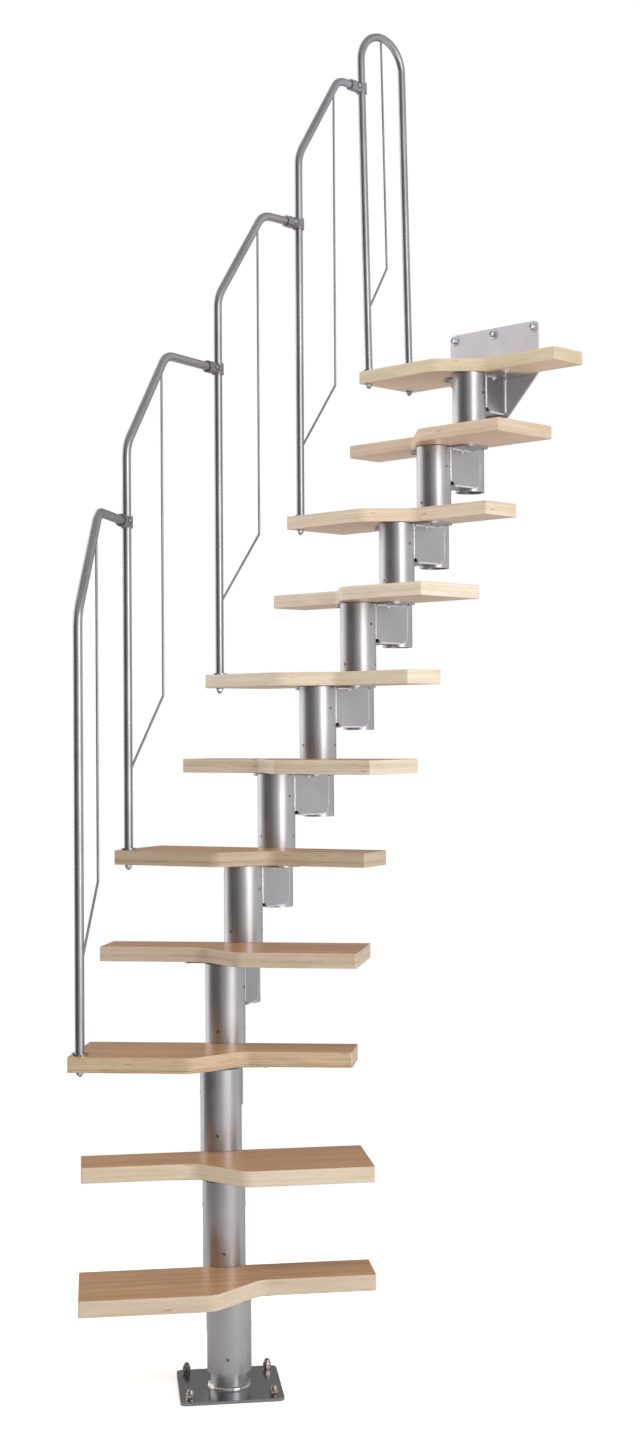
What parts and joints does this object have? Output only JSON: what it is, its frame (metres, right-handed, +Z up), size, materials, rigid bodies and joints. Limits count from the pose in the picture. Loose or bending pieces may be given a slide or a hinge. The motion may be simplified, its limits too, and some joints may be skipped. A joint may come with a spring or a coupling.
{
  "type": "modular staircase",
  "caption": "Space-saving modular stair on one central spine of steel modules, with stepped plywood treads, a quarter turn at the foot, a bent-tube handrail and a wall plate.",
  "frame": {"origin": "centre of the underside of the base plate, on the axis of the lowest sleeve", "axes": "+Z up; +Y horizontal along the straight upper flight, square to the wall that carries the top; +X to the climber's right on that flight"},
  "size_m": [0.9266, 1.6738, 3.2254],
  "materials": {
    "module_steel": "satin silver powder coat",
    "base_plate": "glossy dark grey powder coat",
    "wall_plate": "satin silver powder coat",
    "tread_wood": "satin varnished beech plywood, cream edges with thin brown plies",
    "rail_steel": "satin silver powder coat",
    "clamp_steel": "satin grey powder coat",
    "fixing_zinc": "bright zinc"
  },
  "bodies": {
    "root": {"base_plate": "base_plate", "module_01": "module_steel", "module_02": "module_steel", "module_03": "module_steel", "module_04": "module_steel", "module_05": "module_steel", "module_06": "module_steel", "module_07": "module_steel", "module_08": "module_steel", "module_09": "module_steel", "module_10": "module_steel", "module_11": "module_steel", "wall_plate": "wall_plate", "tread_01": "tread_wood", "tread_02": "tread_wood", "tread_03": "tread_wood", "tread_04": "tread_wood", "tread_05": "tread_wood", "tread_06": "tread_wood", "tread_07": "tread_wood", "tread_08": "tread_wood", "tread_09": "tread_wood", "tread_10": "tread_wood", "tread_11": "tread_wood", "handrail_1": "rail_steel", "handrail_2": "rail_steel", "handrail_3": "rail_steel", "handrail_4": "rail_steel", "handrail_hoop": "rail_steel", "filler_rod_1": "rail_steel", "filler_rod_2": "rail_steel", "filler_rod_3": "rail_steel", "filler_rod_4": "rail_steel", "filler_rod_5": "rail_steel", "rail_clamp_1": "clamp_steel", "rail_clamp_2": "clamp_steel", "rail_clamp_3": "clamp_steel", "rail_clamp_4": "clamp_steel", "post_fixing_1": "fixing_zinc", "post_fixing_2": "fixing_zinc", "post_fixing_3": "fixing_zinc", "post_fixing_4": "fixing_zinc", "post_fixing_5": "fixing_zinc", "post_fixing_6": "fixing_zinc"}
  },
  "joints": []
}
